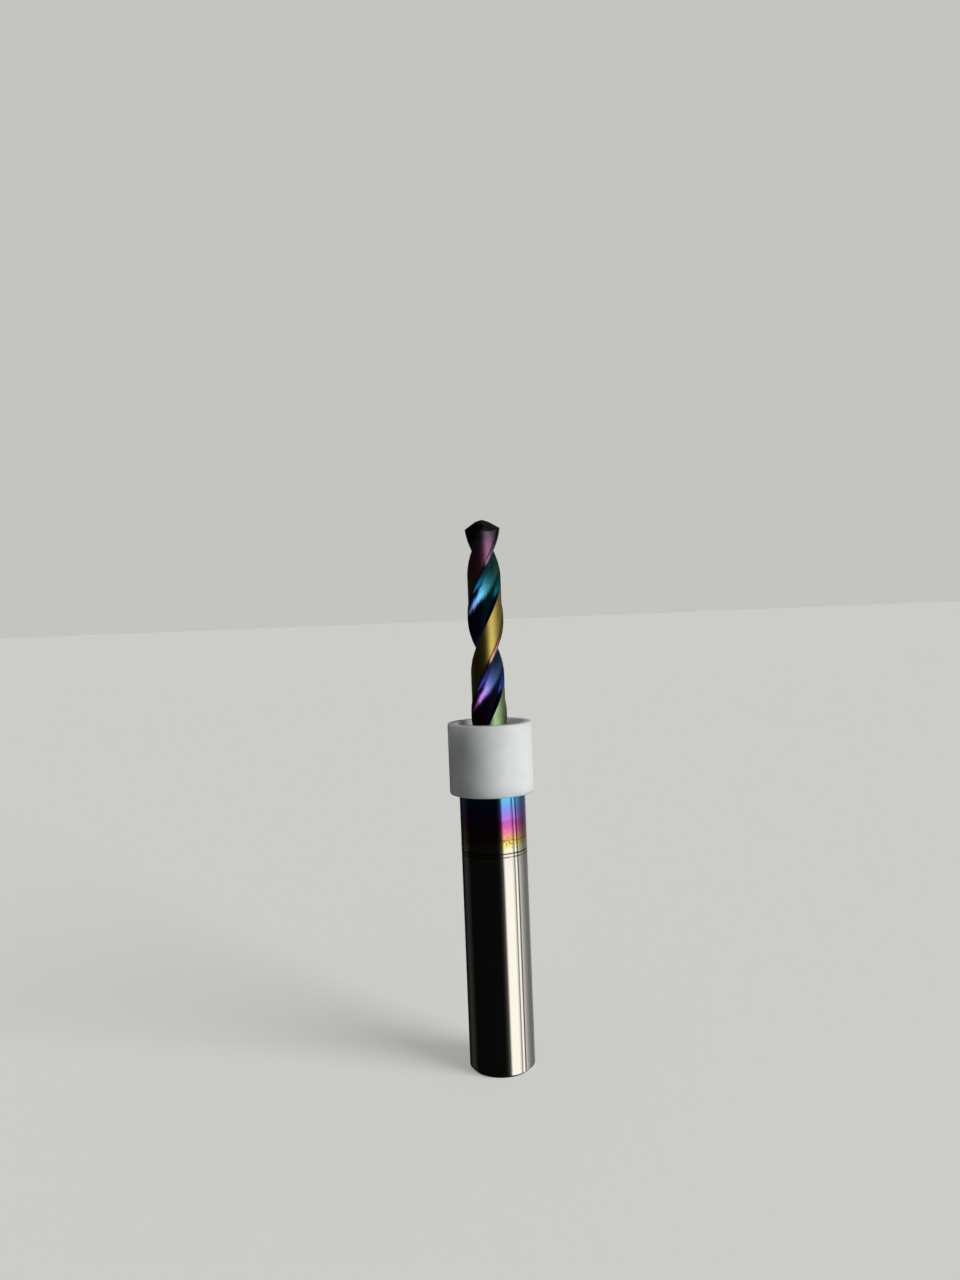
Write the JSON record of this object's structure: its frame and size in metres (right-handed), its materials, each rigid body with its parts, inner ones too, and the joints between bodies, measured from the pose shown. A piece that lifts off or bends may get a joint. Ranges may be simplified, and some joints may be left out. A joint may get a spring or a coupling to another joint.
{
  "type": "tap drill",
  "caption": "Solid twist drill for tapping-size holes, with helical flutes, a ground point, a thick plain shank and a plastic collar.",
  "frame": {"origin": "centre of the shank's flat end face, which the drill stands on", "axes": "+Z along the drill's axis, from the shank towards the point"},
  "size_m": [0.0076, 0.0076, 0.05],
  "materials": {
    "carbide": "ground and polished, with an interference-coloured hard coating on the point, the flutes and the end of the shank beside the collar",
    "collar_plastic": "moulded, translucent white"
  },
  "bodies": {
    "root": {"drill": "carbide", "collar": "collar_plastic"}
  },
  "joints": []
}
